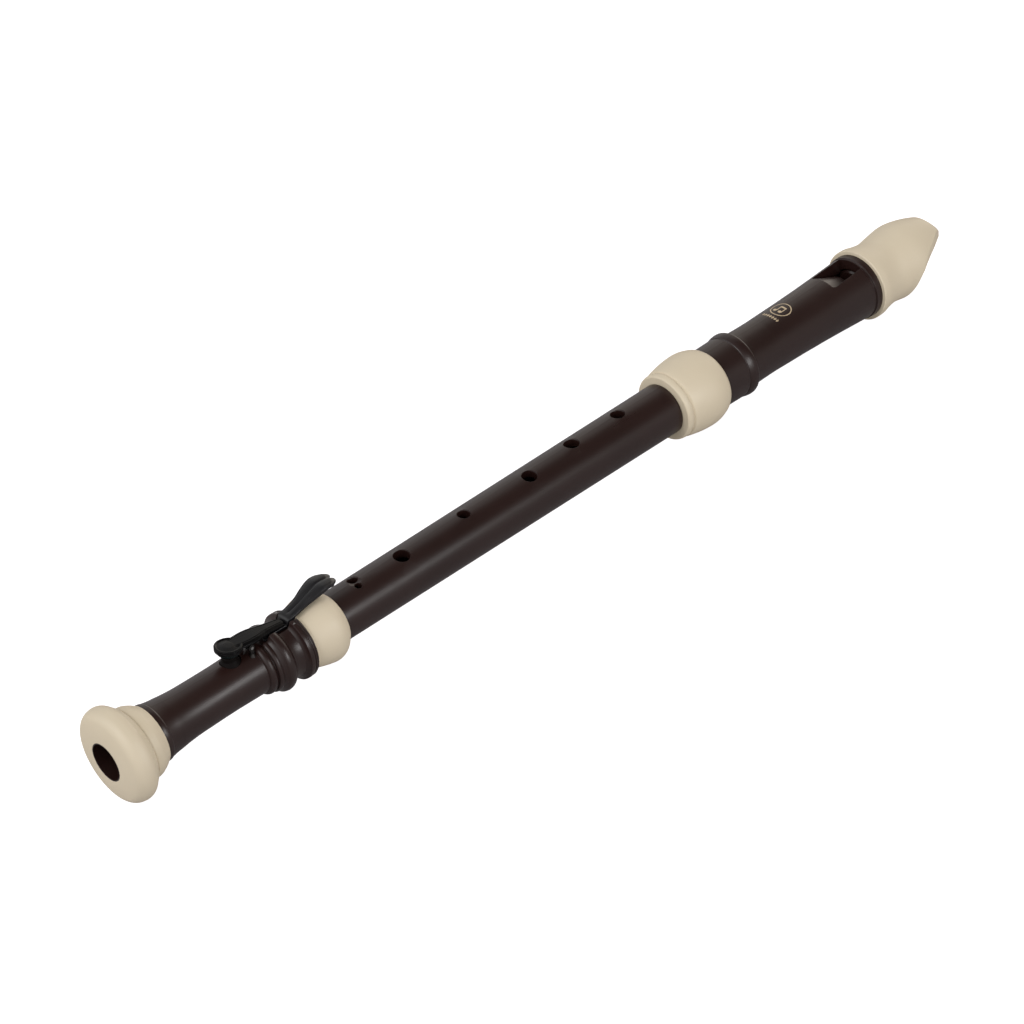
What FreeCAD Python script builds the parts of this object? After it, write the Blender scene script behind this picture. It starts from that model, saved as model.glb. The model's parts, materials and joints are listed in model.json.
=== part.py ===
"""Tenor recorder in three joints, with a two-lever key for the lowest hole.

Frame: millimetres. The origin is the centre of the bell's end face, on the bore axis.
+X runs along the bore from the bell to the beak, +Z is the finger-hole side and +Y is the player's right.
Turned pieces are outlines of (x, radius) points revolved about X.
"""

import FreeCAD, Part
import math
import os
from FreeCAD import Vector

# ---- stations along the bore (x) ----
FOOT_SHOULDER = 124.05
FOOT_BODY_END = 144.6
FOOT_FACE = 149.1
MIDDLE_START = 149.4
MIDDLE_END = 401.5
HEAD_FACE = 401.8
HEAD_BODY_START = 406.0
HEAD_RING_END = 438.0
RAMP_START = 540.5
LABIUM = 557.2
WINDOW_END = 566.4
HEAD_BODY_END = 571.3
TIP = 640.0

# ---- bores, sockets and ring seats (radii) ----
BELL_BORE_R = 10.4
FOOT_BORE_R = 8.0
MIDDLE_BORE_LOW_R = 8.3
MIDDLE_BORE_HIGH_R = 11.0
HEAD_BORE_R = 12.0
FIT = 0.05
UPPER_TENON_R = 13.4
LOWER_TENON_R = 11.6
UPPER_TENON_END = 428.0
LOWER_TENON_END = 122.2
SEAL_WIRE_R = 0.635
BELL_SEAT_R = 12.2
BELL_STEP_R = 15.85
FOOT_RING_SEAT_R = 15.5
HEAD_RING_SEAT_R = 17.6

# ---- window and windway ----
LABIUM_R = 12.35
RAMP_TOP_R = 18.46
WINDOW_HALF = 8.5
RAMP_HALF = 9.3
TIP_HALF = 5.5
WINDWAY_H = 1.3
TIP_RISE = -3.6
KNEE_HALF = 8.3
BEAK_END_R = 11.5
CHAMFER = 1.1

# ---- tone holes of the middle joint: station, degrees towards -Y, radius ----
TONE_HOLES = [
    (365.7, 0.0, 4.2),
    (329.0, 0.0, 4.5),
    (292.9, 13.5, 4.4),
    (245.3, 5.0, 3.6),
    (198.9, 10.0, 4.7),
    (167.7, -8.5, 3.0),
    (166.9, 15.3, 2.0),
    (384.0, 180.0, 4.0),
]
DOUBLE_HOLE_X = 167.3
HOLE_EDGE = 0.5

# ---- key ----
KEY_HOLE_X = 82.6
KEY_HOLE_R = 3.2
SEAT_FOOT_R = 5.8
SEAT_R = 4.3
SEAT_BASE = 12.2
SEAT_TOP = 17.3
CUP_R = 7.4
PAD_R = 7.0
CUP_BOTTOM = 19.3
CUP_TOP = 21.9
PAD_PIVOT = Vector(93.2, 0, 18.0)
TOUCH_PIVOT = Vector(120.5, 0, 17.2)
PAD_OPEN = 7.0
PLATE_BOTTOM = 20.0
PLATE_END = 116.4
RIM = 1.0
LUG_R = 1.9
LUG_HALF = 4.1
FORK_HALF = 2.3
SLOT_HALF = 5.1
SLOT_START = 100.0
SLOT_FLOOR = 14.4
PAD_AXLE_R = 0.8
TOUCH_AXLE_R = 1.0
TOUCH_AXLE_HALF = 7.6
POST_Y = 5.1
RUNNING = 0.05
LINK_FELT = 0.6

ORIGIN = Vector(0, 0, 0)
X = Vector(1, 0, 0)
Y = Vector(0, 1, 0)
Z = Vector(0, 0, 1)


# ---- building blocks ----
def edges_of(points):
    """Edges along XZ points: (x, z) ends a straight run, (x, z, bulge) an arc that stands out by bulge."""
    edges = []
    for start, end in zip(points, points[1:]):
        a = Vector(start[0], 0, start[1])
        b = Vector(end[0], 0, end[1])
        bulge = end[2] if len(end) > 2 else 0
        if not bulge:
            edges.append(Part.LineSegment(a, b).toShape())
            continue
        run = b.sub(a)
        out = Vector(-run.z, 0, run.x).normalize()
        middle = a.add(b).multiply(0.5).add(out.multiply(bulge))
        edges.append(Part.Arc(a, middle, b).toShape())
    return edges


def curve(points):
    """One smooth edge through XZ points."""
    spline = Part.BSplineCurve()
    spline.interpolate([Vector(x, 0, z) for x, z in points])
    return spline.toShape()


def turned(outer, inner):
    """A body of revolution about X between an outer outline and an inner one, both from low x to high x."""
    points = outer + [(p[0], p[1]) for p in reversed(inner)] + [outer[0][:2]]
    return Part.Face(Part.Wire(edges_of(points))).revolve(ORIGIN, X, 360)


def rod(x0, x1, radius):
    """A cylinder along X."""
    return Part.makeCylinder(radius, x1 - x0, Vector(x0, 0, 0), X)


def pin(centre, radius, half):
    """A cylinder along Y, centred on a point."""
    return Part.makeCylinder(radius, 2 * half, centre.sub(Vector(0, half, 0)), Y)


def box(x0, x1, y0, y1, z0, z1):
    return Part.makeBox(x1 - x0, y1 - y0, z1 - z0, Vector(x0, y0, z0))


def side_slab(edges, half):
    """A closed side view in the XZ plane, extruded across Y by half each way."""
    face = Part.Face(Part.Wire(edges))
    face.translate(Vector(0, -half, 0))
    return face.extrude(Vector(0, 2 * half, 0))


def plan_slab(half_outline, z0, z1):
    """A plan view, symmetric about the XZ plane, from (x, half width) points with optional bulges."""
    upper = edges_of(half_outline)
    face_edges = []
    for edge in upper:
        turned_edge = edge.copy()
        turned_edge.rotate(ORIGIN, X, -90)
        face_edges.append(turned_edge)
    mirrored = [e.mirror(ORIGIN, Y) for e in face_edges]
    face = Part.Face(Part.Wire(Part.__sortEdges__(face_edges + mirrored)))
    face.translate(Vector(0, 0, z0))
    return face.extrude(Vector(0, 0, z1 - z0))


def outward(degrees):
    """The unit direction away from the axis, turned from +Z towards -Y."""
    return Vector(0, -math.sin(math.radians(degrees)), math.cos(math.radians(degrees)))


def tone_hole(x, degrees, radius, surface_r):
    """The tool for one tone hole: a straight hole and a small bevel where it meets the surface."""
    way = outward(degrees)
    hole = Part.makeCylinder(radius, surface_r + 4, Vector(x, 0, 0), way)
    foot = Vector(x, 0, 0).add(Vector(way).multiply(surface_r - 1.1))
    bevel = Part.makeCone(radius - 0.15, radius + HOLE_EDGE + 0.35, 2.0, foot, way)
    return hole.fuse(bevel)


def save(shape, node):
    shape.exportStep("parts/%s.step" % node)


# ---- foot joint ----
def foot_body():
    outer = [
        (0, 10.9),
        (1.3, 10.9),
        (1.3, BELL_SEAT_R),
        (22.1, BELL_SEAT_R),
        (22.1, BELL_STEP_R),
        (27.45, BELL_STEP_R),
        (27.45, 16.3),
        (30.4, 16.2, 0.15),
        (31.0, 15.85),
        (38.8, 14.75, -0.15),
        (55.0, 13.6, -0.25),
        (76.0, 13.4, -0.05),
        (95.2, 13.8),
        (99.6, 14.9, 1.5),
        (100.2, 14.9),
        (100.2, 16.0),
        (102.2, 16.7, 0.35),
        (102.9, 16.4),
        (105.1, 18.75, -0.2),
        (111.1, 16.6, 1.3),
        (117.2, 16.35, -0.3),
        (119.1, 19.3, -0.25),
        (121.2, 19.4, 0.1),
        (121.4, 18.95),
        (121.8, 18.95),
        (122.0, 19.35),
        (122.4, 19.35),
        (122.6, 18.95),
        (123.0, 18.95),
        (123.2, 19.3),
        (124.0, 18.9),
        (124.0, FOOT_RING_SEAT_R),
        (FOOT_BODY_END, FOOT_RING_SEAT_R),
    ]
    socket = LOWER_TENON_R + FIT
    inner = [
        (0, BELL_BORE_R),
        (30.0, BELL_BORE_R),
        (60.0, FOOT_BORE_R),
        (LOWER_TENON_END - 0.3, MIDDLE_BORE_LOW_R),
        (LOWER_TENON_END - 0.3, socket),
        (FOOT_BODY_END, socket),
    ]
    body = turned(outer, inner)
    slot = box(SLOT_START, FOOT_SHOULDER, -SLOT_HALF, SLOT_HALF, SLOT_FLOOR, 30)
    hole = Part.makeCylinder(KEY_HOLE_R, 30, Vector(KEY_HOLE_X, 0, 0), Z)
    counterbore = Part.makeCylinder(SEAT_FOOT_R, 30, Vector(KEY_HOLE_X, 0, SEAT_BASE), Z)
    axle_hole = pin(TOUCH_PIVOT, TOUCH_AXLE_R, TOUCH_AXLE_HALF)
    body = body.cut(slot).cut(hole).cut(counterbore).cut(axle_hole)
    for post in pivot_posts(0.02):
        body = body.cut(post)
    return body


def bell_ring():
    outer = [
        (0, 11.2),
        (1.3, 21.4, 0.3),
        (7.2, 26.6, 1.35),
        (13.7, 24.2, 1.05),
        (16.6, 20.7, 0.3),
        (16.9, 20.0),
        (17.3, 20.0),
        (17.6, 20.3),
        (21.6, 20.0, 0.2),
        (25.6, 18.0, 0.1),
        (25.8, 17.5),
        (27.4, 16.8, 0.05),
    ]
    seat = BELL_SEAT_R + FIT
    step = BELL_STEP_R + FIT
    inner = [(0, 10.95), (1.25, 10.95), (1.25, seat), (22.05, seat), (22.05, step), (27.4, step)]
    return turned(outer, inner)


def foot_ring():
    outer = [
        (FOOT_SHOULDER, 16.8),
        (125.4, 17.3, 0.12),
        (125.9, 17.0),
        (126.4, 16.9),
        (138.6, 20.1, 0.3),
        (146.9, 17.4, 1.0),
        (147.1, 16.4),
        (FOOT_FACE, 15.0, 0.3),
    ]
    socket = LOWER_TENON_R + FIT
    seat = FOOT_RING_SEAT_R + FIT
    lip = FOOT_BODY_END + FIT
    inner = [(FOOT_SHOULDER, seat), (lip, seat), (lip, socket), (FOOT_FACE, socket)]
    return turned(outer, inner)


def tone_hole_seat():
    """A chimney with a flared foot let into the body, flat on top for the pad and clear of the bore."""
    flare = Part.makeCone(SEAT_FOOT_R, SEAT_R, 2.6, Vector(KEY_HOLE_X, 0, SEAT_BASE), Z)
    chimney = Part.makeCylinder(SEAT_R, SEAT_TOP - SEAT_BASE - 0.4, Vector(KEY_HOLE_X, 0, SEAT_BASE), Z)
    rim = Part.makeCone(SEAT_R, SEAT_R - 0.4, 0.4, Vector(KEY_HOLE_X, 0, SEAT_TOP - 0.4), Z)
    hole = Part.makeCylinder(KEY_HOLE_R, 30, Vector(KEY_HOLE_X, 0, 0), Z)
    return flare.fuse(chimney).fuse(rim).cut(hole).removeSplitter()


def pivot_posts(slack=0.0):
    """Two pillars let into the foot, drilled for the pad lever's axle."""
    posts = []
    for side in (-1, 1):
        y = side * POST_Y
        shank = Part.makeCylinder(0.8 + slack, 5.0, Vector(PAD_PIVOT.x, y, 9.6), Z)
        base = Part.makeCone(1.7 + slack, 1.0 + slack, 1.9, Vector(PAD_PIVOT.x, y, 12.3), Z)
        web = box(PAD_PIVOT.x - 1.0, PAD_PIVOT.x + 1.0, y - 0.7, y + 0.7, 13.6, PAD_PIVOT.z)
        eye = pin(Vector(PAD_PIVOT.x, y, PAD_PIVOT.z), 1.7, 0.7)
        post = shank.fuse(base).fuse(web).fuse(eye).cut(pin(PAD_PIVOT, PAD_AXLE_R, 10))
        posts.append(post.removeSplitter())
    return posts


def pad_spring():
    """A torsion spring round the axle: one leg bears on the foot, the other lies under the pad lever."""
    wire_r = 0.25
    coil_r = 1.3
    half = 1.85
    coil = Part.makeHelix(2 * half / 6, 2 * half, coil_r)
    section = Part.Wire(Part.makeCircle(wire_r, Vector(coil_r, 0, 0), Y))
    spring = Part.Wire(coil).makePipeShell([section], True, True)
    spring.rotate(ORIGIN, X, 90)
    spring.translate(PAD_PIVOT.add(Vector(0, half, 0)))
    up_start = PAD_PIVOT.add(Vector(0.6, half, 1.2))
    down_start = PAD_PIVOT.add(Vector(-0.3, -half, -1.3))
    up_leg = Part.makeCylinder(wire_r, 3.4, up_start, Vector(-1, 0, 0.05))
    down_leg = Part.makeCylinder(wire_r, 4.0, down_start, Vector(-1, 0, -1.05))
    return spring.fuse(up_leg).fuse(down_leg)


# ---- key levers ----
def pad_plate(inset, sink):
    """The crowned plate of the pad lever, drawn in by inset all round and lowered on top by sink."""
    top = [(86.0, 21.8), (92.0, 22.1), (98.0, 22.3), (105.0, 22.2), (111.0, 21.9), (PLATE_END, 21.5)]
    base = [top[-1], (PLATE_END, PLATE_BOTTOM), (86.0, PLATE_BOTTOM), top[0]]
    edges = edges_of(base) + [curve(top)]
    end_half = 3.0 - inset
    outline = [
        (86.0, 0),
        (86.0, 5.4 - inset),
        (93.5, 6.3 - inset, 0.25),
        (98.5, 6.0 - inset, 0.15),
        (105.0, 4.7 - inset, -0.2),
        (110.0, 4.2 - inset),
        (PLATE_END - 1.2 - inset, end_half),
        (PLATE_END - inset, 0, 0.35 * end_half),
    ]
    solid = side_slab(edges, 9).common(plan_slab(outline, PLATE_BOTTOM, 30))
    solid.translate(Vector(0, 0, -sink))
    return solid


def pad_lever():
    """Cup, rimmed plate and forked lug, built with the pad closed."""
    panel = pad_plate(0.0, 0.0).cut(pad_plate(0.0, 0.35)).common(pad_plate(RIM, 0.0))
    cup = Part.makeCylinder(CUP_R, CUP_TOP - CUP_BOTTOM - 0.6, Vector(KEY_HOLE_X, 0, CUP_BOTTOM), Z)
    crown = Part.makeCone(CUP_R, CUP_R - 1.2, 0.6, Vector(KEY_HOLE_X, 0, CUP_TOP - 0.6), Z)
    lug = pin(PAD_PIVOT, LUG_R, LUG_HALF)
    lug_x = (PAD_PIVOT.x - LUG_R, PAD_PIVOT.x + LUG_R)
    lug = lug.fuse(box(*lug_x, -LUG_HALF, LUG_HALF, PAD_PIVOT.z, PLATE_BOTTOM + 0.5))
    gap = box(PAD_PIVOT.x - 2.5, PAD_PIVOT.x + 2.5, -FORK_HALF, FORK_HALF, 14.0, PLATE_BOTTOM)
    recess = Part.makeCylinder(PAD_R + 0.03, 1.0, Vector(KEY_HOLE_X, 0, CUP_BOTTOM), Z)
    lever = pad_plate(0.0, 0.0).cut(panel).fuse(lug.cut(gap)).fuse(cup).fuse(crown)
    lever = lever.cut(recess).cut(pin(PAD_PIVOT, PAD_AXLE_R + RUNNING, 10))
    return lever.removeSplitter()


def key_pad():
    """The soft disc in the cup, 0.1 above the seat when the key is closed."""
    low = SEAT_TOP + 0.1
    return Part.makeCylinder(PAD_R, CUP_BOTTOM + 1.0 - low, Vector(KEY_HOLE_X, 0, low), Z)


def link_felt():
    return box(104.2, 106.2, -3.0, 3.0, PLATE_BOTTOM - LINK_FELT, PLATE_BOTTOM)


def opened(shape):
    """Turns a piece of the pad lever from closed to its rest, which is open."""
    shape.rotate(PAD_PIVOT, Y, PAD_OPEN)
    return shape


def touch_lever():
    """Tail, hub, waist and a double-lobed leaf that reaches over the foot ring."""
    under = [(104.0, 15.5), (118.0, 15.1), (120.5, 15.0), (122.6, 16.4, -0.35), (123.0, 17.9), (124.0, 18.5)]
    leaf_under = [(124.0, 18.5), (128.0, 19.6), (132.0, 21.0), (137.0, 22.7), (143.0, 24.3), (149.0, 24.8)]
    leaf_under.append((153.9, 24.2))
    leaf_top = [(153.9, 25.1), (150.3, 26.9), (144.0, 27.4), (137.0, 25.5), (130.0, 22.7), (122.0, 20.6)]
    back = [(122.0, 20.6), (117.8, 19.2), (117.3, 18.5), (117.3, 16.9), (108.1, 16.9), (107.5, 17.7)]
    back += [(104.0, 17.7), (104.0, 15.5)]
    edges = edges_of(under) + [curve(leaf_under)] + edges_of([(153.9, 24.2), (153.9, 25.1)])
    edges += [curve(leaf_top)] + edges_of(back)
    side = side_slab(edges, 9)
    plan = [
        (104.0, 0),
        (104.0, 3.2),
        (110.8, 3.6),
        (117.3, 4.2),
        (121.0, 4.6),
        (126.0, 4.4),
        (132.0, 4.5, -0.1),
        (141.0, 6.6, 0.1),
        (148.8, 6.5, 0.35),
        (153.8, 3.4, 1.4),
        (152.1, 0, 0.5),
    ]
    lever = side.common(plan_slab(plan, 10, 30))
    groove_edges = [curve([(x, z - 0.45) for x, z in reversed(leaf_top)])]
    groove_edges += edges_of([(153.9, 24.65), (156.0, 30.0), (122.0, 30.0), (122.0, 20.15)])
    lever = lever.cut(side_slab(groove_edges, 0.5))
    return lever.cut(pin(TOUCH_PIVOT, TOUCH_AXLE_R + RUNNING, 10)).removeSplitter()


def rest_felt():
    return box(103.6, 108.4, -3.2, 3.2, SLOT_FLOOR, 15.3)


# ---- middle joint ----
def middle_tube():
    shoulder_low = 14.1
    shoulder_high = 15.6
    groove = 2.0 * SEAL_WIRE_R + 0.05
    low_seal = LOWER_TENON_END + 4
    high_seal = UPPER_TENON_END - 5
    outer = [
        (LOWER_TENON_END, 10.9),
        (LOWER_TENON_END + 0.8, LOWER_TENON_R),
        (low_seal - 1, LOWER_TENON_R),
        (low_seal - 1, LOWER_TENON_R - groove),
        (low_seal + 1, LOWER_TENON_R - groove),
        (low_seal + 1, LOWER_TENON_R),
        (MIDDLE_START, LOWER_TENON_R),
        (MIDDLE_START, shoulder_low - 0.3),
        (MIDDLE_START + 0.3, shoulder_low, 0.09),
        (MIDDLE_END - 0.3, shoulder_high),
        (MIDDLE_END, shoulder_high - 0.3, 0.09),
        (MIDDLE_END, UPPER_TENON_R),
        (high_seal - 1, UPPER_TENON_R),
        (high_seal - 1, UPPER_TENON_R - groove),
        (high_seal + 1, UPPER_TENON_R - groove),
        (high_seal + 1, UPPER_TENON_R),
        (UPPER_TENON_END - 0.8, UPPER_TENON_R),
        (UPPER_TENON_END, 12.7),
    ]
    inner = [(LOWER_TENON_END, MIDDLE_BORE_LOW_R), (UPPER_TENON_END, MIDDLE_BORE_HIGH_R)]
    body = turned(outer, inner)
    taper = (shoulder_high - shoulder_low) / (MIDDLE_END - MIDDLE_START)
    dish_r = 12.0
    dish_centre = Vector(DOUBLE_HOLE_X, 0, 0).add(outward(2.5).multiply(14.47 + dish_r - 0.9))
    body = body.cut(Part.makeSphere(dish_r, dish_centre))
    for x, degrees, radius in TONE_HOLES:
        body = body.cut(tone_hole(x, degrees, radius, shoulder_low + taper * (x - MIDDLE_START)))
    return body


def seal(x, tenon_r):
    """A rubber ring in its tenon groove."""
    inner_r = tenon_r - 2.0 * SEAL_WIRE_R
    return Part.makeTorus(inner_r + SEAL_WIRE_R, SEAL_WIRE_R, Vector(x, 0, 0), X)


# ---- head joint ----
def sector(x, half, radius, rise):
    """A windway section at station x: flat sides, and an arched top about an axis lifted by rise."""
    side_z = rise + math.sqrt(radius * radius - half * half)
    low_left = Vector(x, -half, 0)
    left = Vector(x, -half, side_z)
    right = Vector(x, half, side_z)
    low_right = Vector(x, half, 0)
    arch = Part.Arc(left, Vector(x, 0, rise + radius), right).toShape()
    rise_wall = Part.LineSegment(low_left, left).toShape()
    drop_wall = Part.LineSegment(right, low_right).toShape()
    floor = Part.LineSegment(low_right, low_left).toShape()
    return Part.Wire([rise_wall, arch, drop_wall, floor])


def windway(radius, slack):
    """The tapering arched channel, level in the head and falling in the beak, filled down to the axis."""
    near = sector(WINDOW_END - 0.01, WINDOW_HALF - slack, radius, 0)
    knee = sector(HEAD_BODY_END, KNEE_HALF - slack, radius, 0)
    far = sector(TIP + 1, TIP_HALF - slack, radius, TIP_RISE)
    return Part.makeLoft([near, knee, far], True, True)


def beak_bore(radius):
    """The block's hole through the beak: a cylinder that falls with the windway."""
    near = Part.Wire(Part.makeCircle(radius, Vector(HEAD_BODY_END, 0, 0), X))
    far = Part.Wire(Part.makeCircle(radius, Vector(TIP + 1, 0, TIP_RISE), X))
    return Part.makeLoft([near, far], True, True)


def underside():
    """Everything below the beak's hollowed underside."""
    hollow = [(598.2, -24.0), (600.0, -14.5), (603.2, -6.4), (605.4, -1.9), (609.0, 2.2), (613.0, 4.5)]
    hollow += [(618.5, 5.9), (625.0, 6.5), (632.0, 6.3), (641.0, 5.5)]
    below = [(641.0, 5.5), (645.0, 5.5), (645.0, -40.0), (598.2, -40.0), (598.2, -24.0)]
    edges = [curve(hollow)] + edges_of(below)
    return side_slab(edges, 30)


def beak_plan():
    """The beak seen from above, as a tall prism: tapering sides and a blunt end with small corners."""
    plan = [(560.0, 0), (560.0, 30.0), (598.0, 30.0), (606.0, 23.4), (613.0, 21.3, 0.1), (618.0, 19.2, 0.1)]
    plan += [(626.0, 15.6, 0.1), (634.0, 11.2, 0.1), (638.8, 8.5), (TIP, 7.1, 0.2), (TIP, 0)]
    return plan_slab(plan, -30, 30)


def beak():
    start = HEAD_BODY_END + FIT
    collar = [(start, 0), (start, 22.2), (571.9, 22.75, 0.1), (576.5, 22.6, 0.1)]
    swell = [(576.5, 22.6), (583.0, 21.25), (591.0, 20.7), (597.0, 21.5), (603.0, 22.3), (608.0, 22.9)]
    swell.append((613.0, 22.9))
    swell += [(618.0, 22.2), (624.0, 20.9), (629.0, 19.5), (632.3, 18.4)]
    tip = [(632.3, 18.4), (633.2, 17.8, 0.1), (639.2, 12.3, 0.15), (TIP, BEAK_END_R, 0.15)]
    tip += [(TIP, 0), (start, 0)]
    edges = edges_of(collar) + [curve(swell)] + edges_of(tip)
    body = Part.Face(Part.Wire(edges)).revolve(ORIGIN, X, 360)
    body = body.common(beak_plan()).cut(underside())
    body = body.cut(beak_bore(HEAD_BORE_R))
    return body.cut(windway(HEAD_BORE_R + WINDWAY_H, 0)).removeSplitter()


def block():
    """The plug under the windway: its top is the windway's floor, with a chamfer at the window."""
    plug = rod(WINDOW_END, HEAD_BODY_END, HEAD_BORE_R - FIT).fuse(beak_bore(HEAD_BORE_R - FIT))
    plug = plug.fuse(windway(HEAD_BORE_R, 0.03)).common(rod(WINDOW_END, TIP, 30))
    low_r = HEAD_BORE_R - CHAMFER
    corner = [(WINDOW_END - 1, low_r - 1), (WINDOW_END + CHAMFER + 1, HEAD_BORE_R + 1)]
    corner.append((WINDOW_END - 1, HEAD_BORE_R + 1))
    chamfer = Part.Face(Part.Wire(edges_of(corner + corner[:1]))).revolve(ORIGIN, X, 360)
    return plug.cut(chamfer).common(beak_plan()).cut(underside()).removeSplitter()


def window_tool():
    """The ramp, a cone whose low end is the labium, and the mouth beyond it, inside a tapering plan."""
    ramp = [(RAMP_START, RAMP_TOP_R), (RAMP_START, 30), (WINDOW_END, 30), (WINDOW_END, 5), (LABIUM, 5)]
    ramp.append((LABIUM, LABIUM_R))
    cone = Part.Face(Part.Wire(edges_of(ramp + ramp[:1]))).revolve(ORIGIN, X, 360)
    plan = [(RAMP_START - 1, 0), (RAMP_START - 1, RAMP_HALF - 3), (RAMP_START + 3, RAMP_HALF - 0.2, 0.7)]
    plan += [(WINDOW_END, WINDOW_HALF), (WINDOW_END + 1, WINDOW_HALF), (WINDOW_END + 1, 0)]
    return cone.common(plan_slab(plan, 4, 31))


def head_body():
    outer = [
        (HEAD_BODY_START, HEAD_RING_SEAT_R),
        (HEAD_RING_END + FIT, HEAD_RING_SEAT_R),
        (HEAD_RING_END + FIT, 18.5),
        (438.5, 18.7),
        (454.6, 18.95),
        (454.9, 18.5),
        (455.5, 18.5),
        (455.9, 18.95),
        (460.9, 19.95, 0.3),
        (462.3, 19.3, 0.2),
        (462.6, 17.5),
        (463.2, 17.2),
        (470.0, 16.9, -0.08),
        (485.0, 16.7, -0.05),
        (504.8, 17.15),
        (520.0, 17.6, -0.06),
        (535.0, 18.15, -0.04),
        (550.0, 18.9, -0.03),
        (565.8, 19.75),
        (566.3, 19.3),
        (566.9, 19.3),
        (567.3, 20.2),
        (570.9, 20.4),
        (HEAD_BODY_END, 20.4),
    ]
    socket = UPPER_TENON_R + FIT
    socket_end = UPPER_TENON_END + 0.6
    inner = [(HEAD_BODY_START, socket), (socket_end, socket), (socket_end, HEAD_BORE_R)]
    inner.append((HEAD_BODY_END, HEAD_BORE_R))
    body = turned(outer, inner)
    return body.cut(window_tool()).cut(windway(HEAD_BORE_R + WINDWAY_H, 0))


def head_ring():
    outer = [
        (HEAD_FACE, 19.3),
        (402.8, 20.2, 0.2),
        (405.4, 20.4, 0.15),
        (406.2, 19.8, 0.1),
        (406.8, 19.8),
        (407.4, 20.7),
        (409.6, 21.4, 0.1),
        (424.4, 23.3, 0.35),
        (433.6, 21.9, 0.45),
        (HEAD_RING_END, 19.5, 0.35),
    ]
    socket = UPPER_TENON_R + FIT
    lip = HEAD_BODY_START - FIT
    seat = HEAD_RING_SEAT_R + FIT
    inner = [(HEAD_FACE, socket), (lip, socket), (lip, seat), (HEAD_RING_END, seat)]
    return turned(outer, inner)


def main():
    os.makedirs("parts", exist_ok=True)
    save(foot_body(), "foot_body")
    save(foot_ring(), "foot_ring")
    save(bell_ring(), "bell_ring")
    save(tone_hole_seat(), "tone_hole_seat")
    save(Part.makeCompound(pivot_posts()), "pivot_posts")
    save(pin(PAD_PIVOT, PAD_AXLE_R, 6.3), "pad_axle")
    save(pin(TOUCH_PIVOT, TOUCH_AXLE_R, TOUCH_AXLE_HALF), "touch_axle")
    save(pad_spring(), "pad_spring")
    save(rest_felt(), "rest_felt")
    save(opened(pad_lever()), "pad_lever")
    save(opened(key_pad()), "key_pad")
    save(opened(link_felt()), "link_felt")
    save(touch_lever(), "touch_lever")
    save(middle_tube(), "middle_tube")
    save(seal(LOWER_TENON_END + 4, LOWER_TENON_R), "lower_seal")
    save(seal(UPPER_TENON_END - 5, UPPER_TENON_R), "upper_seal")
    save(head_ring(), "head_ring")
    save(head_body(), "head_body")
    save(block(), "block")
    save(beak(), "beak")


main()
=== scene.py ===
"""Looks for the tenor recorder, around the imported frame.

Materials, moulded and soft pieces, the printed mark, the studio and the camera.
"""
import json
import math

import bmesh
import bpy
from mathutils import Matrix, Vector, noise as field
from mathutils.bvhtree import BVHTree


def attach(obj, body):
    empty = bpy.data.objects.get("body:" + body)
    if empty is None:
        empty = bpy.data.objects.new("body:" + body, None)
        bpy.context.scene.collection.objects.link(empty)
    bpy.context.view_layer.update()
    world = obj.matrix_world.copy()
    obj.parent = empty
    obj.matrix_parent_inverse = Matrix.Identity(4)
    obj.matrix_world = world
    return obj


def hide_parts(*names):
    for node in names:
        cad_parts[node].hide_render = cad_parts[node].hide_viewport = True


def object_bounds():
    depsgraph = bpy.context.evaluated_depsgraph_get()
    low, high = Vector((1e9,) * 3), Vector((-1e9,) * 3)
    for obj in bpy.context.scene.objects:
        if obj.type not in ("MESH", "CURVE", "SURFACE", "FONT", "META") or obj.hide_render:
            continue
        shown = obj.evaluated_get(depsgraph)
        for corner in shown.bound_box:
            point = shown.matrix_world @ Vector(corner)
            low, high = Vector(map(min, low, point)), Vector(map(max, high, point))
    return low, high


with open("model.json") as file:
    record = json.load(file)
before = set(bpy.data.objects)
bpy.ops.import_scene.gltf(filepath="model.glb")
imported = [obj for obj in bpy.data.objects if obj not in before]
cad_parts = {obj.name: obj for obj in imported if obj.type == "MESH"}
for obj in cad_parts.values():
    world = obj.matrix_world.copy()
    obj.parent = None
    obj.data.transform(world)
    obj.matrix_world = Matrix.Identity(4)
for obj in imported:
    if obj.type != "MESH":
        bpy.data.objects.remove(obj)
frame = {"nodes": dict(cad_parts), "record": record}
cad_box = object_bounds()
NODES = frame["nodes"]
MM = 0.001

scene = bpy.context.scene
scene.view_settings.view_transform = "Standard"

# the colour sockets of a Mix node
MIX_A, MIX_B, MIX_RESULT = 6, 7, 2


# ---- node helpers ----
def new_material(name):
    m = bpy.data.materials.new(name)
    m.use_nodes = True
    nt = m.node_tree
    return m, nt, nt.nodes["Principled BSDF"]


def node(nt, kind, **values):
    """Adds a node; each value goes to the input of that name, or else to the property."""
    n = nt.nodes.new(kind)
    for k, v in values.items():
        if k in n.inputs:
            n.inputs[k].default_value = v
        else:
            setattr(n, k, v)
    return n


def coords(nt, scale=(1, 1, 1)):
    """Object coordinates, in metres."""
    tex = node(nt, "ShaderNodeTexCoord")
    mapping = node(nt, "ShaderNodeMapping", Scale=scale)
    nt.links.new(tex.outputs["Object"], mapping.inputs["Vector"])
    return mapping.outputs["Vector"]


def noise(nt, vector, scale, detail=3.0, rough=0.5):
    n = node(nt, "ShaderNodeTexNoise", Scale=scale, Detail=detail, Roughness=rough)
    nt.links.new(vector, n.inputs["Vector"])
    return n.outputs["Fac"]


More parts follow.
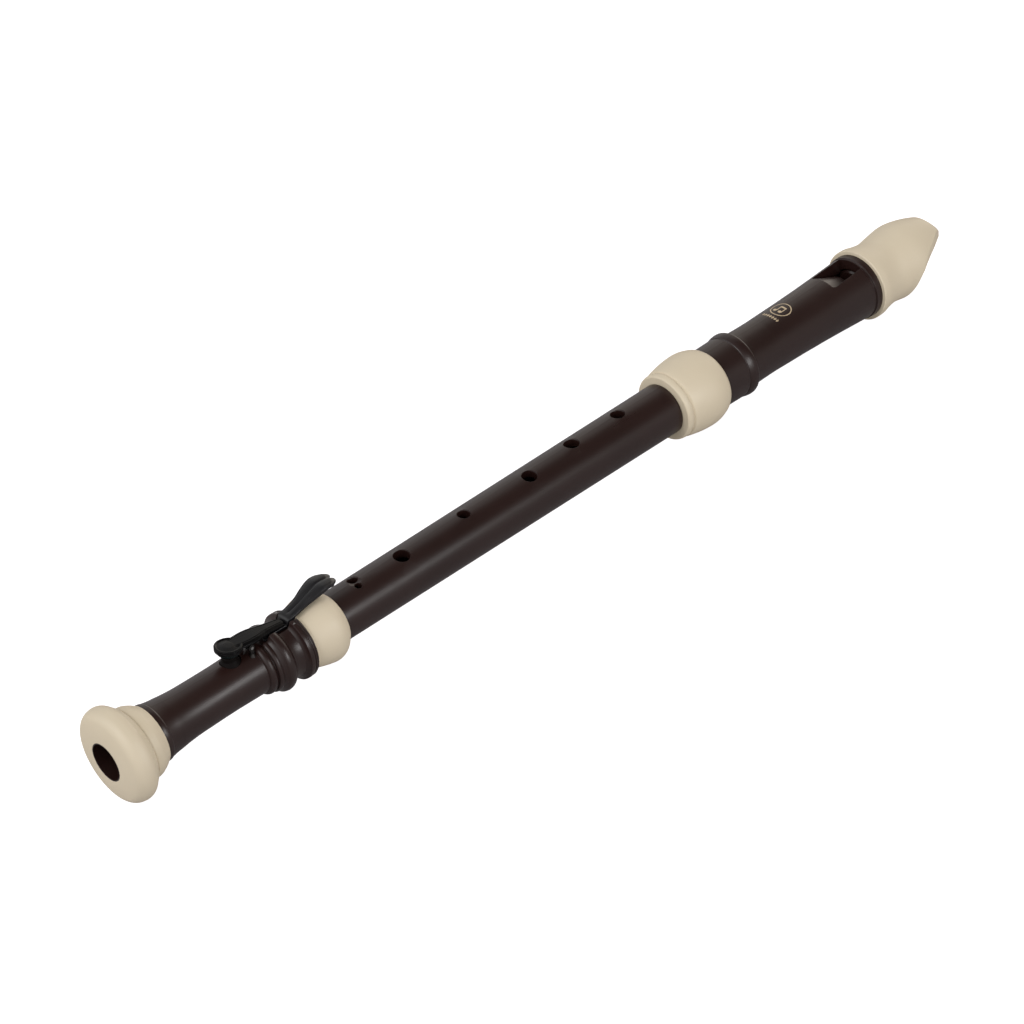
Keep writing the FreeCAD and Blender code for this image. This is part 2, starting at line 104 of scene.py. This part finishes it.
def remap(nt, value, low, high, a=0.3, b=0.7):
    """Takes a value from a..b to low..high; the defaults fit the spread of a noise."""
    n = node(nt, "ShaderNodeMapRange")
    n.inputs["From Min"].default_value = a
    n.inputs["From Max"].default_value = b
    n.inputs["To Min"].default_value = low
    n.inputs["To Max"].default_value = high
    nt.links.new(value, n.inputs["Value"])
    return n.outputs["Result"]


def mix_colour(nt, factor, a, b):
    n = node(nt, "ShaderNodeMix", data_type="RGBA")
    nt.links.new(factor, n.inputs["Factor"])
    n.inputs[MIX_A].default_value = (*a, 1)
    n.inputs[MIX_B].default_value = (*b, 1)
    return n.outputs[MIX_RESULT]


def bump(nt, heights, bsdf, edge=0.0):
    """Bumps from coarse to fine, over CAD edges that shade as if eased by edge metres.

    heights holds (value socket, strength, distance in metres).
    """
    last = None
    if edge:
        last = node(nt, "ShaderNodeBevel", samples=6, Radius=edge).outputs["Normal"]
    for value, strength, distance in heights:
        n = node(nt, "ShaderNodeBump", Strength=strength, Distance=distance)
        nt.links.new(value, n.inputs["Height"])
        if last is not None:
            nt.links.new(last, n.inputs["Normal"])
        last = n.outputs["Normal"]
    nt.links.new(last, bsdf.inputs["Normal"])


# ---- materials ----
# noise scales are per metre, bump distances are in metres
CLOUD_SCALE = 22.0
SMEAR_SCALE = 60.0
SMEAR_STRETCH = (0.25, 1, 1)
WAVE_SCALE = 130.0
WAVE_STRENGTH = 0.05
WAVE_DISTANCE = 0.0004
GRAIN_SCALE = 900.0
GRAIN_DISTANCE = 0.00005


def moulded(name, dark, light, rough, grain, ior=1.5, edge=0.0, metallic=0.0):
    """Clouded colour, handling smears in the gloss, a soft waviness and a fine grain."""
    m, nt, bsdf = new_material(name)
    v = coords(nt)
    cloud = noise(nt, v, CLOUD_SCALE, 4.0)
    fine = noise(nt, v, GRAIN_SCALE, 2.0)
    colour = mix_colour(nt, remap(nt, cloud, 0.0, 1.0), dark, light)
    nt.links.new(colour, bsdf.inputs["Base Color"])
    smear = noise(nt, coords(nt, SMEAR_STRETCH), SMEAR_SCALE, 5.0, 0.6)
    nt.links.new(remap(nt, smear, *rough), bsdf.inputs["Roughness"])
    wave = noise(nt, v, WAVE_SCALE, 2.0)
    bump(nt, [(wave, WAVE_STRENGTH, WAVE_DISTANCE), (fine, grain, GRAIN_DISTANCE)], bsdf, edge)
    bsdf.inputs["IOR"].default_value = ior
    bsdf.inputs["Metallic"].default_value = metallic
    return m


ivory = moulded(
    "ivory_moulding", (0.602, 0.514, 0.377), (0.630, 0.542, 0.404),
    rough=(0.46, 0.56), grain=0.10, ior=1.52, edge=0.00022)
brown = moulded(
    "brown_moulding", (0.0150, 0.0060, 0.0048), (0.0195, 0.0082, 0.0066),
    rough=(0.27, 0.36), grain=0.10, ior=1.43, edge=0.00026)
black = moulded(
    "black_moulding", (0.0046, 0.0041, 0.0049), (0.0070, 0.0063, 0.0074),
    rough=(0.25, 0.36), grain=0.30, ior=1.39)
# The pad lever and its cup take a darker, less reflective copy of the black moulding: painted shade
# standing in for the darker reflection they show.
pad_lever_shaded_black = moulded(
    "pad_lever_painted_shade", (0.0022, 0.0020, 0.0022), (0.0036, 0.0033, 0.0036),
    rough=(0.24, 0.36), grain=0.30, ior=1.21)
pad_skin = moulded(
    "pad_skin", (0.0014, 0.0038, 0.0042), (0.0026, 0.0062, 0.0066),
    rough=(0.42, 0.55), grain=0.5, ior=1.24)
# A much darker, duller copy of the brown moulding for the tone-hole seat: painted shade under the
# pad cup and lever.
seat_shaded_brown = moulded(
    "seat_painted_shade", (0.0030, 0.0022, 0.0021), (0.0044, 0.0031, 0.0029),
    rough=(0.5, 0.65), grain=0.2, ior=1.16)
rubber = moulded(
    "seal_rubber", (0.012, 0.012, 0.012), (0.02, 0.02, 0.02), rough=(0.3, 0.55), grain=0.3)
felt = moulded(
    "felt", (0.012, 0.012, 0.014), (0.03, 0.03, 0.034), rough=(0.85, 0.95), grain=1.0)
steel = moulded(
    "drawn_steel", (0.30, 0.29, 0.28), (0.38, 0.37, 0.36),
    rough=(0.26, 0.40), grain=0.2, metallic=1.0)
# A darker copy of the steel, for the pivot posts and the spring under the pad lever.
dark_steel = moulded(
    "darker_steel", (0.030, 0.028, 0.027), (0.048, 0.045, 0.043),
    rough=(0.30, 0.45), grain=0.2, metallic=0.9)
gold = moulded(
    "gold_print", (0.55, 0.43, 0.28), (0.66, 0.53, 0.36),
    rough=(0.34, 0.5), grain=0.3, metallic=0.35)

BY_SLOT = {
    "brown_plastic": brown, "ivory_plastic": ivory, "black_plastic": black, "pad": pad_skin,
    "steel": steel, "felt": felt, "rubber": rubber,
}
# By node: the tone-hole seat takes the darker brown that paints shade under the cup; the posts and
# the spring take the darker steel.
BY_NODE = {"tone_hole_seat": seat_shaded_brown, "pivot_posts": dark_steel, "pad_spring": dark_steel}
for part in frame["record"]["subparts"]:
    obj = NODES[part["node"]]
    obj.data.materials.clear()
    obj.data.materials.append(BY_NODE.get(part["node"], BY_SLOT[part["material_slot"]]))


# ---- mesh helpers (millimetres in, metres out) ----
def piece(name, bm, material, body, node_names=(), place=Matrix.Identity(4)):
    """Makes an object of a bmesh drawn in millimetres; it rides on a body and stands for nodes."""
    bmesh.ops.recalc_face_normals(bm, faces=bm.faces)
    bm.transform(place)
    bm.transform(Matrix.Scale(MM, 4))
    for f in bm.faces:
        f.smooth = True
    mesh = bpy.data.meshes.new(name)
    bm.to_mesh(mesh)
    bm.free()
    obj = bpy.data.objects.new(name, mesh)
    scene.collection.objects.link(obj)
    obj.data.materials.append(material)
    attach(obj, body)
    if node_names:
        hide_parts(*node_names)
    return obj


def add_rings(bm, rings, cap_start=True, cap_end=True):
    """Skins closed rings of equal count into one shell."""
    loops = [[bm.verts.new(p) for p in ring] for ring in rings]
    count = len(loops[0])
    for low_ring, high_ring in zip(loops, loops[1:]):
        for i in range(count):
            j = (i + 1) % count
            bm.faces.new((low_ring[i], low_ring[j], high_ring[j], high_ring[i]))
    if cap_start:
        bm.faces.new(list(reversed(loops[0])))
    if cap_end:
        bm.faces.new(loops[-1])
    return loops


def add_lathe(bm, centre, profile, steps=96):
    """Spins (radius, z) points about the vertical through centre; both ends lie on that axis."""
    rings = []
    for r, z in profile[1:-1]:
        ring = []
        for k in range(steps):
            a = 2 * math.pi * k / steps
            ring.append((centre[0] + r * math.cos(a), centre[1] + r * math.sin(a), z))
        rings.append(ring)
    loops = add_rings(bm, rings, False, False)
    for loop, (_, z) in ((loops[0], profile[0]), (loops[-1], profile[-1])):
        tip = bm.verts.new((centre[0], centre[1], z))
        for i in range(steps):
            bm.faces.new((loop[i], loop[(i + 1) % steps], tip))


def rounded(points, radius, steps=4):
    """Rounds the inner corners of an open outline of 2-D points."""
    out = [Vector(points[0])]
    for before, here, after in zip(points, points[1:], points[2:]):
        p, q, r = Vector(before), Vector(here), Vector(after)
        cut = min(radius, (p - q).length * 0.45, (r - q).length * 0.45)
        a = q + (p - q).normalized() * cut
        b = q + (r - q).normalized() * cut
        for k in range(steps + 1):
            t = k / steps
            out.append(a * (1 - t) ** 2 + q * 2 * t * (1 - t) + b * t ** 2)
    out.append(Vector(points[-1]))
    return out


def gentle(table):
    """A smooth function through rising (x, value) rows that never overshoots them."""
    xs = [row[0] for row in table]
    ys = [row[1] for row in table]
    slopes = [(b - a) / (d - c) for a, b, c, d in zip(ys, ys[1:], xs, xs[1:])]
    tangents = [slopes[0]]
    for left, right in zip(slopes, slopes[1:]):
        tangents.append(0.0 if left * right <= 0 else 2 * left * right / (left + right))
    tangents.append(slopes[-1])

    def value(x):
        x = min(max(x, xs[0]), xs[-1])
        i = max(k for k in range(len(xs) - 1) if xs[k] <= x)
        width = xs[i + 1] - xs[i]
        t = (x - xs[i]) / width
        rise = ys[i] * (1 + 2 * t) * (1 - t) ** 2 + ys[i + 1] * t * t * (3 - 2 * t)
        return rise + width * t * (1 - t) * ((1 - t) * tangents[i] - t * tangents[i + 1])

    return value


def section(half, low_z, top, corner, across=13, turns=5):
    """One lever cross-section as (y, z): a flat bottom, rounded corners, top(|y|) between them."""
    side = []
    corner = min(corner, half * 0.5, (top(half) - low_z) * 0.49)
    inner = half - corner
    for k in range(turns + 1):
        a = math.pi / 2 * k / turns
        side.append((inner + corner * math.sin(a), low_z + corner * (1 - math.cos(a))))
    shoulder = top(inner)
    for k in range(turns + 1):
        a = math.pi / 2 * k / turns
        side.append((inner + corner * math.cos(a), shoulder - corner * (1 - math.sin(a))))
    for k in range(1, across):
        y = inner * (1 - k / across)
        side.append((y, top(y)))
    ring = [(0.0, low_z)] + side + [(0.0, top(0.0))]
    return ring + [(-y, z) for y, z in reversed(side)]


def bell_curve(x, width):
    return math.exp(-((x / width) ** 2))


# ---- touch lever: tail, hub, stem and two-lobed leaf ----
LEAF_START = 143.0
LEAF_TIP = 154.1
LEAF_ROWS = 30
LEAF_FOLD = 0.9  # the share of the leaf's length past which its end rounds over
# first x, step and count of the rows before the leaf, closest where the hub rises
TOUCH_RUNS = [(104.0, 0.5, 27), (117.5, 0.15, 11), (119.2, 0.4, 60)]
TOUCH_TOP = gentle([
    (104.0, 17.65), (107.0, 17.65), (108.4, 16.8), (117.8, 16.8), (118.2, 17.6), (119.0, 19.1),
    (120.5, 20.0), (124.0, 20.9), (130.0, 22.8), (137.0, 25.7), (144.0, 27.6), (150.3, 27.1),
    (154.0, 25.6)])
TOUCH_LOW = gentle([
    (104.0, 15.5), (118.0, 15.1), (120.5, 15.05), (122.4, 16.6), (123.2, 18.0), (124.0, 18.5),
    (128.0, 19.6), (132.0, 21.0), (137.0, 22.8), (143.0, 24.4), (149.0, 24.9), (154.0, 24.2)])
TOUCH_HALF = gentle([
    (104.0, 3.2), (110.0, 3.5), (117.3, 3.7), (121.0, 4.5), (126.0, 4.5), (131.0, 4.9),
    (136.0, 5.9), (141.0, 6.75), (145.5, 6.9), (149.0, 6.8), (154.0, 6.4)])
GROOVE = gentle([
    (104.0, 0.0), (121.0, 0.0), (124.0, 0.5), (138.0, 0.65), (150.0, 0.55), (154.0, 0.4)])
GROOVE_SHARE = 0.6
GROOVE_WIDTHS = (0.4, 1.3)
CROWN = gentle([
    (104.0, 0.05), (118.0, 0.2), (124.0, 0.7), (132.0, 0.85), (141.0, 0.8), (154.0, 0.5)])
TOUCH_CORNER = 0.45
TOUCH_LINE_DEPTH = 0.24
TOUCH_LINE_INSET = 1.2
TOUCH_LINE_WIDTH = 0.24
TOUCH_LINE_FROM = 0.2  # the groove depth past which the edge line is cut too


def leaf_end(t):
    """Where the leaf ends at t, from -1 to 1 across: two lobes, the far one a little longer."""
    return LEAF_TIP + 0.35 * t - 1.7 * bell_curve(t, 0.2) - 4.6 * abs(t) ** 3.6


def touch_lever():
    rings = []
    stations = [start + step * k for start, step, count in TOUCH_RUNS for k in range(count)]
    rows = [(x, 0.0) for x in stations if x < LEAF_START]
    rows += [(LEAF_START, k / LEAF_ROWS) for k in range(LEAF_ROWS + 1)]
    for x, u in rows:
        nominal = x + (LEAF_TIP - x) * u
        half = TOUCH_HALF(nominal)
        groove = GROOVE(nominal)
        crown = CROWN(nominal)

        def top(y):
            line = TOUCH_LINE_DEPTH * bell_curve(half - TOUCH_LINE_INSET - y, TOUCH_LINE_WIDTH)
            valley = groove * sum(GROOVE_SHARE * bell_curve(y, width) for width in GROOVE_WIDTHS)
            arched = TOUCH_TOP(nominal) - crown * abs(y / half) ** 3
            return arched - valley - line * (groove > TOUCH_LINE_FROM)

        ring = []
        for y, z in section(half, TOUCH_LOW(nominal), top, TOUCH_CORNER):
            at = x + (leaf_end(y / half) - x) * u
            if u > LEAF_FOLD:
                middle = (top(half * 0.6) + TOUCH_LOW(nominal)) / 2
                folded = (u - LEAF_FOLD) / (1 - LEAF_FOLD)
                z = middle + (z - middle) * math.sqrt(max(0.0, 1 - folded ** 2))
            ring.append((at, y, z))
        rings.append(ring)
    bm = bmesh.new()
    add_rings(bm, rings, True, False)
    bmesh.ops.remove_doubles(bm, verts=bm.verts, dist=0.002)
    piece("touch_lever_moulding", bm, black, "touch_key", ["touch_lever"])


touch_lever()

# ---- pad lever, its pad and its felt, drawn closed and opened with the key ----
PAD_PIVOT = Vector((93.2, 0, 18.0))
OPEN_DEGREES = 7.0
OPEN = (Matrix.Translation(PAD_PIVOT)
        @ Matrix.Rotation(math.radians(OPEN_DEGREES), 4, "Y")
        @ Matrix.Translation(-PAD_PIVOT))
CUP = (82.6, 0.0)
CUP_PROFILE = [
    (0.0, 20.2), (7.02, 20.2), (7.02, 19.32), (7.4, 19.32), (7.4, 20.5), (7.12, 20.62),
    (7.12, 20.82), (7.42, 20.94), (7.42, 21.75), (7.0, 21.95), (6.4, 21.95), (5.8, 21.45),
    (5.2, 21.5), (2.6, 21.9), (0.0, 21.97)]
CUP_ROUND = 0.22
PAD_PROFILE = [
    (0.0, 17.45), (3.3, 17.45), (4.1, 17.52), (4.8, 17.41), (5.9, 17.4), (6.15, 18.0),
    (6.1, 18.9), (6.98, 19.05), (6.98, 20.15), (0.0, 20.15)]
PAD_ROUND = 0.45
PLATE_START = 84.0
PLATE_END = 117.4
PLATE_ROWS = 120
PLATE_LOW = 20.0
PLATE_TOP = gentle([
    (82.0, 21.7), (86.0, 21.85), (92.0, 22.1), (98.0, 22.3), (105.0, 22.2), (111.0, 21.9),
    (PLATE_END, 21.5)])
PLATE_HALF = gentle([
    (82.0, 4.6), (86.0, 5.4), (90.0, 6.05), (94.0, 6.3), (98.5, 6.0), (102.0, 5.3),
    (105.0, 4.7), (110.0, 4.25), (114.0, 3.95), (PLATE_END, 3.7)])
PLATE_CORNER = 0.35
END_ROUND = 1.0  # the length over which the plate's end narrows
END_NARROWING = 0.7  # the least square of the width there, as a share
BEVEL_WIDTH = 1.9
BEVEL_DROP = 1.0
BEVEL_CURVE = 1.3
LINE_DEPTH = 0.34
LINE_INSET = 0.35
LINE_WIDTH = 0.22
LINE_FADE = 2.0
LUG_RADIUS = 1.9
LUG_EASE = 0.15
LUG_SIDES = ((2.3, LUG_EASE), (2.45, 0.0), (3.95, 0.0), (4.1, LUG_EASE))
LUG_STEPS = 16


def pad_lever():
    bm = bmesh.new()
    rings = []
    for k in range(PLATE_ROWS + 1):
        x = PLATE_START + (PLATE_END - PLATE_START) * (k / PLATE_ROWS)
        to_end = PLATE_END - x
        rounding = max(END_NARROWING, 1 - max(0.0, 1 - to_end / END_ROUND) ** 2)
        half = PLATE_HALF(x) * math.sqrt(rounding)

        def top(y):
            slope = max(0.0, y - (half - BEVEL_WIDTH)) / BEVEL_WIDTH
            line = LINE_DEPTH * bell_curve(half - BEVEL_WIDTH - LINE_INSET - y, LINE_WIDTH)
            faded = line * min(1.0, to_end / LINE_FADE)
            return PLATE_TOP(x) - BEVEL_DROP * slope ** BEVEL_CURVE - faded

        rings.append([(x, y, z) for y, z in section(half, PLATE_LOW, top, PLATE_CORNER, 24)])
    add_rings(bm, rings)
    add_lathe(bm, CUP, [tuple(p) for p in rounded(CUP_PROFILE, CUP_ROUND)])
    for side in (-1, 1):
        add_lug(bm, side)
    piece("pad_lever_moulding", bm, pad_lever_shaded_black, "pad_key", ["pad_lever"], OPEN)


def add_lug(bm, side):
    """One arm of the fork that hangs on the axle: a tab rounded below, with eased faces."""
    rings = []
    root = PLATE_LOW + 0.4
    for y, shrink in LUG_SIDES:
        r = LUG_RADIUS - shrink
        ring = [(PAD_PIVOT.x + r, side * y, root)]
        for k in range(LUG_STEPS + 1):
            a = -math.pi * k / LUG_STEPS
            ring.append((PAD_PIVOT.x + r * math.cos(a), side * y, PAD_PIVOT.z + r * math.sin(a)))
        ring.append((PAD_PIVOT.x - r, side * y, root))
        rings.append(ring)
    add_rings(bm, rings)


def key_pad():
    bm = bmesh.new()
    add_lathe(bm, CUP, [tuple(p) for p in rounded(PAD_PROFILE, PAD_ROUND)])
    pad = piece("key_pad_disc", bm, pad_skin, "pad_key", ["key_pad"], OPEN)


# ---- felts ----
FELT_EDGE = 0.16
FELT_SINK = 0.05
FELT_LUMPS = 2.7


def felt_block(name, node_name, body, low, high, place=Matrix.Identity(4)):
    """A pressed felt strip with soft corners and an uneven face."""
    bm = bmesh.new()
    bmesh.ops.create_cube(bm, size=1.0)
    size = Vector(high) - Vector(low)
    middle = (Vector(high) + Vector(low)) / 2
    bm.transform(Matrix.Translation(middle) @ Matrix.Diagonal((*size, 1)))
    bmesh.ops.bevel(
        bm, geom=list(bm.edges), offset=FELT_EDGE, segments=3, affect="EDGES", profile=0.5)
    bmesh.ops.subdivide_edges(bm, edges=list(bm.edges), cuts=3, use_grid_fill=True)
    for vert in bm.verts:
        inward = (middle - vert.co).normalized()
        vert.co += inward * FELT_SINK * (0.5 + 0.5 * field.noise(vert.co * FELT_LUMPS))
    piece(name, bm, felt, body, [node_name], place)


pad_lever()
key_pad()
felt_block("link_felt_strip", "link_felt", "pad_key", (104.2, -3.0, 19.4), (106.2, 3.0, 20.0), OPEN)
felt_block("rest_felt_strip", "rest_felt", "foot", (103.6, -3.2, 14.4), (108.4, 3.2, 15.3))

# ---- a plain printed mark on the head: two beamed notes in a ring, and a row of lozenges ----
MARK_X = 503.0
MARK_TURN = 2.0
MARK_R = 6.1
HEAD_RADIUS = 17.1
PRINT_LIFT = 0.025
RAY_START = 0.05  # metres from the bore's axis, outside the head
head_tree = BVHTree.FromObject(NODES["head_body"], bpy.context.evaluated_depsgraph_get())


def printed(u, v):
    """A point of the mark on the head: u along the bore, v round it towards -Y, in millimetres."""
    angle = math.radians(MARK_TURN) + v / HEAD_RADIUS
    way = Vector((0, -math.sin(angle), math.cos(angle)))
    start = Vector(((MARK_X + u) * MM, 0, 0)) + way * RAY_START
    hit = head_tree.ray_cast(start, -way)[0]
    return (hit + way * PRINT_LIFT * MM) / MM


def add_stroke(bm, path, width, closed=False):
    """A flat stroke of constant width along (u, v) points, just over the head's surface."""
    left, right = [], []
    count = len(path)
    for i, p in enumerate(path):
        before = Vector(path[i - 1] if closed or i else p)
        after = Vector(path[(i + 1) % count] if closed or i < count - 1 else p)
        run = (after - before).normalized()
        out = Vector((-run.y, run.x)) * width / 2
        left.append(bm.verts.new(printed(*(Vector(p) + out))))
        right.append(bm.verts.new(printed(*(Vector(p) - out))))
    for i in range(count if closed else count - 1):
        j = (i + 1) % count
        bm.faces.new((left[i], left[j], right[j], right[i]))


def arc(centre, r_u, r_v, end, steps):
    """Points of an ellipse about centre, from 0 to end degrees."""
    points = []
    for k in range(steps + 1):
        a = math.radians(end * k / steps)
        points.append((centre[0] + r_u * math.cos(a), centre[1] + r_v * math.sin(a)))
    return points


def mark():
    bm = bmesh.new()
    add_stroke(bm, arc((0, 0), MARK_R, MARK_R, 357, 119), 0.62, True)
    foot_u, beam_u = -2.3, 2.3
    for v in (-2.0, 1.7):
        add_stroke(bm, arc((foot_u, v - 0.55), 0.55, 0.7, 345, 23), 1.1, True)
        add_stroke(bm, [(foot_u + 0.3 * k, v + 0.45) for k in range(17)], 0.6)
    add_stroke(bm, [(beam_u, -1.8 + 0.32 * k) for k in range(14)], 1.2)
    for k in range(7):
        add_stroke(bm, arc((-9.3, -5.3 + 1.82 * k), 1.0, 0.45, 270, 3), 0.7, True)
    piece("head_mark", bm, gold, "head")


mark()

# ---- floor ----
FLOOR_HALF = 6.0
FLOOR_GAP = 0.0002
PAPER_SCALE = 3.0


def floor_paper():
    """Pale paper that looks plain white to the camera and lights nothing else by itself."""
    m, nt, bsdf = new_material("floor_paper")
    mottle = noise(nt, coords(nt), PAPER_SCALE)
    colour = mix_colour(nt, mottle, (0.46, 0.452, 0.46), (0.50, 0.49, 0.50))
    nt.links.new(colour, bsdf.inputs["Base Color"])
    bsdf.inputs["Roughness"].default_value = 0.9
    bsdf.inputs["Specular IOR Level"].default_value = 0.1
    bsdf.inputs["Emission Color"].default_value = (1.0, 0.985, 1.0, 1)
    sight = node(nt, "ShaderNodeLightPath").outputs["Is Camera Ray"]
    nt.links.new(remap(nt, sight, 0.0, 0.9, 0.0, 1.0), bsdf.inputs["Emission Strength"])
    return m


bm = bmesh.new()
bmesh.ops.create_grid(bm, x_segments=2, y_segments=2, size=FLOOR_HALF)
mesh = bpy.data.meshes.new("floor")
bm.to_mesh(mesh)
bm.free()
floor = bpy.data.objects.new("floor", mesh)
scene.collection.objects.link(floor)
floor.location = (0.3, 0, cad_box[0][2] - FLOOR_GAP)
floor.data.materials.append(floor_paper())


# ---- light ----
def area(name, at, aim, size, power):
    """A rectangular area light at a point, aimed at another."""
    data = bpy.data.lights.new(name, "AREA")
    data.shape = "RECTANGLE"
    data.size, data.size_y = size
    data.energy = power
    o = bpy.data.objects.new(name, data)
    scene.collection.objects.link(o)
    o.location = at
    o.rotation_euler = (Vector(aim) - Vector(at)).to_track_quat("-Z", "Y").to_euler()


area("side_box", (0.50, -1.24, 0.47), (0.15, 0, 0), (0.60, 0.44), 6.8)
area("bell_side", (-1.3, -0.1, 1.5), (0.25, 0, 0), (1.0, 1.0), 10.5)

WORLD_BASE = 0.47
# direction, inner and outer angle in degrees, radiance added
LOBES = [
    ((0.52, -0.35, 0.80), 12, 48, -0.36),
    ((0.50, 0.72, 0.45), 8, 42, 0.36),
    ((0.944, 0.208, 0.249), 8, 30, 1.6),
    ((-1.0, -0.3, 0.15), 20, 85, 0.58),
    ((-0.573, 0.627, 0.527), 6, 26, 1.3),
]
# the sky warms between these two X parts of the direction, from white to WARM
WARM_FROM, WARM_TO = 0.46, 0.68
WARM = (1.0, 0.92, 0.82)

world = bpy.data.worlds.new("studio")
scene.world = world
world.use_nodes = True
nt = world.node_tree
sky = nt.nodes["Background"]
towards = node(nt, "ShaderNodeTexCoord").outputs["Generated"]
total = None
for direction, inner, outer, amount in LOBES:
    dot = node(nt, "ShaderNodeVectorMath", operation="DOT_PRODUCT")
    nt.links.new(towards, dot.inputs[0])
    dot.inputs[1].default_value = Vector(direction).normalized()
    lobe = node(nt, "ShaderNodeMapRange", interpolation_type="SMOOTHSTEP")
    nt.links.new(dot.outputs["Value"], lobe.inputs["Value"])
    lobe.inputs["From Min"].default_value = math.cos(math.radians(outer))
    lobe.inputs["From Max"].default_value = math.cos(math.radians(inner))
    lobe.inputs["To Max"].default_value = amount
    add = node(nt, "ShaderNodeMath", operation="ADD")
    add.inputs[0].default_value = WORLD_BASE
    if total is not None:
        nt.links.new(total, add.inputs[0])
    nt.links.new(lobe.outputs["Result"], add.inputs[1])
    total = add.outputs["Value"]
nt.links.new(total, sky.inputs["Strength"])
along = node(nt, "ShaderNodeSeparateXYZ")
nt.links.new(towards, along.inputs[0])
warmth = remap(nt, along.outputs["X"], 0.0, 1.0, WARM_FROM, WARM_TO)
nt.links.new(mix_colour(nt, warmth, (1.0, 1.0, 1.0), WARM), sky.inputs["Color"])

# ---- camera ----
EYE = Vector((-0.5317, -0.9646, 0.8777))
RIGHT = Vector((0.71633, -0.69109, -0.09620))
FORWARD = Vector((0.52770, 0.62678, -0.57331))
LENS = 98.44
SENSOR = 36.0

cam_data = bpy.data.cameras.new("camera")
cam_data.lens = LENS
cam_data.sensor_width = SENSOR
camera = bpy.data.objects.new("camera", cam_data)
scene.collection.objects.link(camera)
back = -FORWARD.normalized()
side = (RIGHT - RIGHT.dot(back) * back).normalized()
up = back.cross(side)
camera.matrix_world = Matrix((
    (side.x, up.x, back.x, EYE.x),
    (side.y, up.y, back.y, EYE.y),
    (side.z, up.z, back.z, EYE.z),
    (0, 0, 0, 1)))
scene.camera = camera
